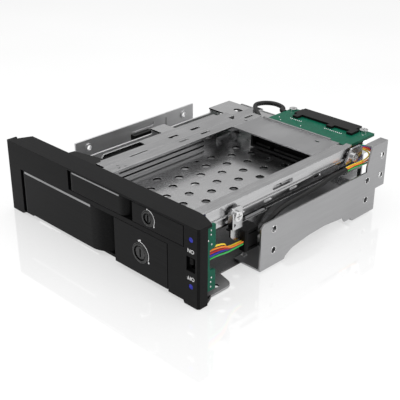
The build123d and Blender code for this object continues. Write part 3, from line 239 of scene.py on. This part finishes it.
# deck steel, its cut edges and hole walls darkened by painted shade
polished_sheet = sheet_metal("polished_sheet", (0.60, 0.60, 0.605), (0.64, 0.64, 0.645), 0.19, 0.24,
                             (240, 240, 240), dull_and_shaded_edges=True)
dull_sheet = sheet_metal("dull_sheet", (0.52, 0.52, 0.525), (0.58, 0.58, 0.585), 0.42, 0.55)
# tray steel, darkened by painted shade where the deck and other pieces stand over it
tray_sheet_painted_shade = sheet_metal("tray_sheet_painted_shade", (0.52, 0.52, 0.525), (0.58, 0.58, 0.585), 0.42, 0.55, painted_shade=True)
screw_steel = sheet_metal("screw_steel", (0.60, 0.60, 0.60), (0.74, 0.74, 0.74), 0.12, 0.22, (200, 200, 200))
satin_strip = sheet_metal("satin_strip", (0.26, 0.26, 0.265), (0.36, 0.36, 0.365), 0.26, 0.4, (8, 500, 500))
lock_black = sheet_metal("lock_black", (0.035, 0.035, 0.035), (0.07, 0.07, 0.07), 0.22, 0.34, (200, 200, 200))
board_green = circuit_board("board_green")
lamp_blue = lamp_glow("lamp_blue")
label_white = print_and_glint_ink("label_white", (0.82, 0.82, 0.82))
# grey for thin rings round the locks, a painted highlight of the chamfer glint
painted_glint_grey = print_and_glint_ink("painted_glint_grey", (0.10, 0.10, 0.10))
solder = sheet_metal("solder", (0.5, 0.5, 0.5), (0.7, 0.7, 0.7), 0.2, 0.35, (300, 300, 300))

CABLE_COLOURS = {
    "wire_yellow": (0.80, 0.60, 0.04),
    "wire_orange": (0.78, 0.22, 0.03),
    "wire_red": (0.50, 0.02, 0.02),
    "wire_blue": (0.03, 0.04, 0.45),
    "wire_green": (0.04, 0.42, 0.09),
    "harness_sleeve": (0.005, 0.005, 0.005),
    "rear_cable": (0.005, 0.005, 0.005),
}

MATERIAL_NODES = (
    (face_black, ("bezel",)),
    (flap_black, ("lower_flap", "upper_flap")),
    (socket_black, (
        "switch_knob", "switch_body", "upper_connector", "lower_connector", "upper_host_sockets",
        "lower_host_sockets", "wire_header")),
    (plain_black, ("harness_clip", "upper_ejector_guide", "lower_ejector_guide")),
    (lock_black, ("lower_lock", "upper_lock")),
    (satin_strip, ("lower_trim", "upper_trim")),
    (board_green, ("upper_board", "lower_board", "led_board")),
    (lamp_blue, ("upper_lamp", "lower_lamp")),
    (tray_sheet_painted_shade, ("base_tray",)),
    (plate_steel, ("right_side_plate", "rear_cover", "rear_bracket")),
    (dull_sheet, ("left_side_plate", "lower_guide_left", "lower_guide_right")),
    (polished_sheet, ("deck",)),
    (bright_sheet, (
        "bay_rail_right", "bay_rail_left", "ejector_channel", "side_bracket", "lower_ejector",
        "upper_ejector")),
    (screw_steel, (
        "clip_screws", "flange_rivets", "upper_board_screws", "lower_board_screws",
        "upper_standoffs", "lower_hinge_pin", "upper_hinge_pin", "lower_crank_pin",
        "upper_crank_pin")),
)
NODE_MATERIALS = {name: material for material, names in MATERIAL_NODES for name in names}
for cable_name, cable_colour in CABLE_COLOURS.items():
    NODE_MATERIALS[cable_name] = cable_cover(cable_name + "_cover", cable_colour)

for node_name, node_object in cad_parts.items():
    for material_slot in node_object.material_slots:
        material_slot.material = NODE_MATERIALS[node_name]


# small pieces that the CAD leaves to this scene
def place(x, depth, z):
    """Point in metres from the millimetre values of the part, depth behind the bezel front."""
    return Vector((x * MM, FRONT_Y + depth * MM, z * MM))


def face_directions(axis):
    """The way a face looks and two directions across it."""
    way = Vector(axis)
    side = Vector((0, 0, 1)) if abs(way.z) < 0.5 else Vector((1, 0, 0))
    return way, side, way.cross(side)


def mesh_piece(name, vertices, faces, material, body="chassis", smooth=False):
    mesh = bpy.data.meshes.new(name)
    mesh.from_pydata(vertices, [], faces)
    mesh.update()
    for polygon in mesh.polygons:
        polygon.use_smooth = smooth
    piece = bpy.data.objects.new(name, mesh)
    bpy.context.scene.collection.objects.link(piece)
    mesh.materials.append(material)
    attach(piece, body)


def flat_band(name, centre, inner, outer, start, end, depth, material, body):
    """Part of a flat ring on the front, with a little thickness."""
    steps = 28
    thickness = 0.06
    vertices = []
    for layer_depth in (depth, depth + thickness):
        for radius in (inner, outer):
            for step in range(steps + 1):
                angle = math.radians(start + (end - start) * step / steps)
                vertices.append(place(centre[0] + radius * math.cos(angle), layer_depth,
                                      centre[1] + radius * math.sin(angle)))
    count = steps + 1
    faces = []
    for step in range(steps):
        a, b = step, step + 1
        faces.append((a, b, count + b, count + a))
        faces.append((2 * count + a, 3 * count + a, 3 * count + b, 2 * count + b))
        faces.append((count + a, count + b, 3 * count + b, 3 * count + a))
        faces.append((a, 2 * count + a, 2 * count + b, b))
    faces.append((0, count, 3 * count, 2 * count))
    faces.append((steps, 2 * count + steps, 3 * count + steps, count + steps))
    mesh_piece(name, vertices, faces, material, body)


def round_pads(name, centres, radius, height, axis, material, body="chassis"):
    """Domed solder joints or pads on one face; axis is the way they stand out."""
    vertices, faces = [], []
    way, side, other = face_directions(axis)
    steps = 12
    rings = ((1.0, 0.0), (0.92, 0.55), (0.6, 0.9))
    for centre in centres:
        start = len(vertices)
        for share, rise in rings:
            for step in range(steps):
                angle = 2 * math.pi * step / steps
                offset = (side * math.cos(angle) + other * math.sin(angle)) * radius * share * MM
                vertices.append(centre + offset + way * height * rise * MM)
        vertices.append(centre + way * height * MM)
        top = len(vertices) - 1
        for ring in range(2):
            for step in range(steps):
                following = (step + 1) % steps
                faces.append((start + ring * steps + step, start + ring * steps + following,
                              start + (ring + 1) * steps + following, start + (ring + 1) * steps + step))
        for step in range(steps):
            faces.append((start + 2 * steps + step, start + 2 * steps + (step + 1) % steps, top))
    mesh_piece(name, vertices, faces, material, body, smooth=True)


def bead_rings(name, centres, radius, bead, axis, material, body="chassis"):
    """Half-round beads that lie round holes in one face; axis is the way they stand out."""
    vertices, faces = [], []
    way, side, other = face_directions(axis)
    around, across = 28, 7
    for centre in centres:
        start = len(vertices)
        for step in range(around):
            angle = 2 * math.pi * step / around
            outward = side * math.cos(angle) + other * math.sin(angle)
            for turn in range(across):
                lean = math.pi * turn / (across - 1)
                vertices.append(centre + outward * (radius + bead * math.cos(lean)) * MM
                                + way * bead * math.sin(lean) * MM)
        for step in range(around):
            row, following = start + step * across, start + (step + 1) % around * across
            for turn in range(across):
                after = (turn + 1) % across
                faces.append((row + turn, row + after, following + after, following + turn))
    mesh_piece(name, vertices, faces, material, body, smooth=True)


def label(name, words, x, z, height, material):
    """Lettering on the lamp column; it reads from above, as in the photo."""
    curve = bpy.data.curves.new(name, "FONT")
    curve.body = words
    curve.size = height * MM
    curve.align_x = "CENTER"
    curve.align_y = "CENTER"
    curve.extrude = 0.02 * MM
    curve.offset = 0.03 * MM
    piece = bpy.data.objects.new(name, curve)
    bpy.context.scene.collection.objects.link(piece)
    piece.location = place(x, -0.03, z)
    piece.rotation_euler = (math.radians(90), math.radians(180), 0)
    curve.materials.append(material)
    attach(piece, "chassis")


# printed marks on the front, and grey rings round the locks that are a painted highlight
MARK_DEPTH = -0.05
LOWER_LOCK, UPPER_LOCK = (34.3, 14.4), (40.5, 35.5)
FORWARDS, RIGHTWARDS, UPWARDS = (0, -1, 0), (1, 0, 0), (0, 0, 1)
flat_band("lower_lock_mark", LOWER_LOCK, 6.1, 6.4, -22, 86, MARK_DEPTH, label_white, "lower_flap")
flat_band("upper_lock_mark", UPPER_LOCK, 4.6, 4.85, -30, 84, MARK_DEPTH, label_white, "upper_flap")
# thin grey rings round the lock barrels: painted highlight standing in for the chamfer glint
flat_band("lower_lock_glint_ring", LOWER_LOCK, 5.24, 5.42, 0, 360, MARK_DEPTH, painted_glint_grey, "lower_flap")
flat_band("upper_lock_glint_ring", UPPER_LOCK, 3.94, 4.1, 0, 360, MARK_DEPTH, painted_glint_grey, "upper_flap")
round_pads("lower_mark_dots", [place(33.6, 0.0, 20.9), place(34.6, 0.0, 21.4), place(40.4, 0.0, 11.2)],
           0.55, 0.05, FORWARDS, label_white, "lower_flap")
round_pads("upper_mark_dots", [place(44.8, 0.0, 32.6), place(40.2, 0.0, 40.2)],
           0.42, 0.05, FORWARDS, label_white, "upper_flap")
label("label_on", "ON", 69.2, 29.6, 2.7, label_white)
label("label_off", "OFF", 69.2, 15.2, 2.7, label_white)
round_pads("flap_dot", [place(-16.6, 0.0, 36.4)], 0.5, 0.03, FORWARDS, socket_black, "upper_flap")

# rolled rims round the screw holes of the right plate
RIGHT_PLATE_X = 73.0
hole_places = [place(RIGHT_PLATE_X, depth, z) for depth in (54.1, 133.35) for z in (9.9, 21.8)]
hole_places += [place(RIGHT_PLATE_X, 146.3, z) for z in (21.1, 33.1)]
bead_rings("hole_rims_right", hole_places, 1.85, 0.22, RIGHTWARDS, screw_steel)

# solder joints on the lamp board and on the upper board
LAMP_BOARD_X = 73.1
UPPER_BOARD_Z = 40.0
joints = [place(LAMP_BOARD_X, depth, z) for depth, z in
          ((9.0, 38.4), (9.0, 36.2), (9.4, 31.0), (9.4, 13.4), (9.0, 11.2), (9.0, 8.6), (7.2, 33.6))]
round_pads("lamp_board_solder", joints, 0.45, 0.35, RIGHTWARDS, solder)
board_pads = [place(12.0 + 1.3 * index, 140.2, UPPER_BOARD_Z) for index in range(7)]
board_pads += [place(36.0 + 1.3 * index, 141.4, UPPER_BOARD_Z) for index in range(10)]
board_pads += [place(x, depth, UPPER_BOARD_Z) for x, depth in
               ((6.0, 137.0), (9.4, 134.0), (57.6, 148.4), (24.0, 134.6))]
round_pads("upper_board_solder", board_pads, 0.38, 0.22, UPWARDS, solder)


# camera worked out from the photo
camera_data = bpy.data.cameras.new("camera")
camera = bpy.data.objects.new("camera", camera_data)
bpy.context.scene.collection.objects.link(camera)
YAW, PITCH, ROLL = math.radians(44.5399), math.radians(26.4977), math.radians(0.2111)
EYE = place(305.398, -234.212, 221.218)
FOCAL_PIXELS, PHOTO_WIDTH_PIXELS, SENSOR_WIDTH = 851.007, 400, 36.0
forward = Vector((-math.sin(YAW) * math.cos(PITCH), math.cos(YAW) * math.cos(PITCH), -math.sin(PITCH)))
right = Vector((math.cos(YAW), math.sin(YAW), 0))
up = right.cross(forward)
rolled_right = right * math.cos(ROLL) + up * math.sin(ROLL)
rolled_up = up * math.cos(ROLL) - right * math.sin(ROLL)
camera.matrix_world = Matrix((
    (rolled_right.x, rolled_up.x, -forward.x, EYE.x),
    (rolled_right.y, rolled_up.y, -forward.y, EYE.y),
    (rolled_right.z, rolled_up.z, -forward.z, EYE.z),
    (0, 0, 0, 1),
))
camera_data.sensor_width = SENSOR_WIDTH
camera_data.lens = FOCAL_PIXELS / PHOTO_WIDTH_PIXELS * SENSOR_WIDTH
camera_data.clip_start = 0.01
bpy.context.scene.camera = camera


# floor, surroundings and lights
bpy.ops.mesh.primitive_plane_add(size=6.0, location=(0, 0, -0.0004))
floor = bpy.context.object
floor.name = "floor"
floor_material, floor_nodes, floor_links, floor_shader = new_material("floor_white")
floor_grain = stretched_noise(floor_nodes, floor_links, (1, 1, 1), 4.0, 2.0)
floor_links.new(two_tone(floor_nodes, floor_links, floor_grain, (0.28, 0.28, 0.28), (0.32, 0.32, 0.32)),
                floor_shader.inputs["Base Color"])
floor_links.new(spread(floor_nodes, floor_links, floor_grain, 0.04, 0.07), floor_shader.inputs["Roughness"])
floor_shader.inputs["Emission Color"].default_value = (1, 1, 1, 1)
floor_shader.inputs["Emission Strength"].default_value = 0.68
floor_shader.inputs["Coat Weight"].default_value = 1.0
floor_shader.inputs["Coat Roughness"].default_value = 0.04
floor_shader.inputs["Coat IOR"].default_value = 2.0
floor.data.materials.append(floor_material)

world = bpy.data.worlds.new("studio")
bpy.context.scene.world = world
world.use_nodes = True
world_nodes, world_links = world.node_tree.nodes, world.node_tree.links
ambient = world_nodes["Background"]
ambient.inputs["Color"].default_value = (0.55, 0.55, 0.55, 1)
ambient.inputs["Strength"].default_value = 1.0
backdrop = world_nodes.new("ShaderNodeBackground")
backdrop.inputs["Color"].default_value = (1, 1, 1, 1)
backdrop.inputs["Strength"].default_value = 1.0
ray = world_nodes.new("ShaderNodeLightPath")
choose = world_nodes.new("ShaderNodeMixShader")
world_links.new(ray.outputs["Is Camera Ray"], choose.inputs["Fac"])
world_links.new(ambient.outputs["Background"], choose.inputs[1])
world_links.new(backdrop.outputs["Background"], choose.inputs[2])
world_links.new(choose.outputs["Shader"], world_nodes["World Output"].inputs["Surface"])


def soft_light(name, location, target, size, power):
    data = bpy.data.lights.new(name, "AREA")
    data.shape = "RECTANGLE"
    data.size, data.size_y = size
    data.energy = power
    lamp = bpy.data.objects.new(name, data)
    lamp.location = location
    lamp.rotation_euler = (Vector(target) - Vector(location)).to_track_quat("-Z", "Y").to_euler()
    bpy.context.scene.collection.objects.link(lamp)


soft_light("top_light", (-0.1, 0.15, 1.1), (0, 0, 0), (2.2, 1.8), 21.0)
soft_light("right_light", (0.9, 0.1, 0.45), (0.05, 0, 0.02), (0.5, 0.5), 3.0)
soft_light("front_light", (-0.3, -0.9, 0.5), (0, -0.05, 0.02), (0.5, 0.3), 1.4)

bpy.context.scene.view_settings.view_transform = "Standard"
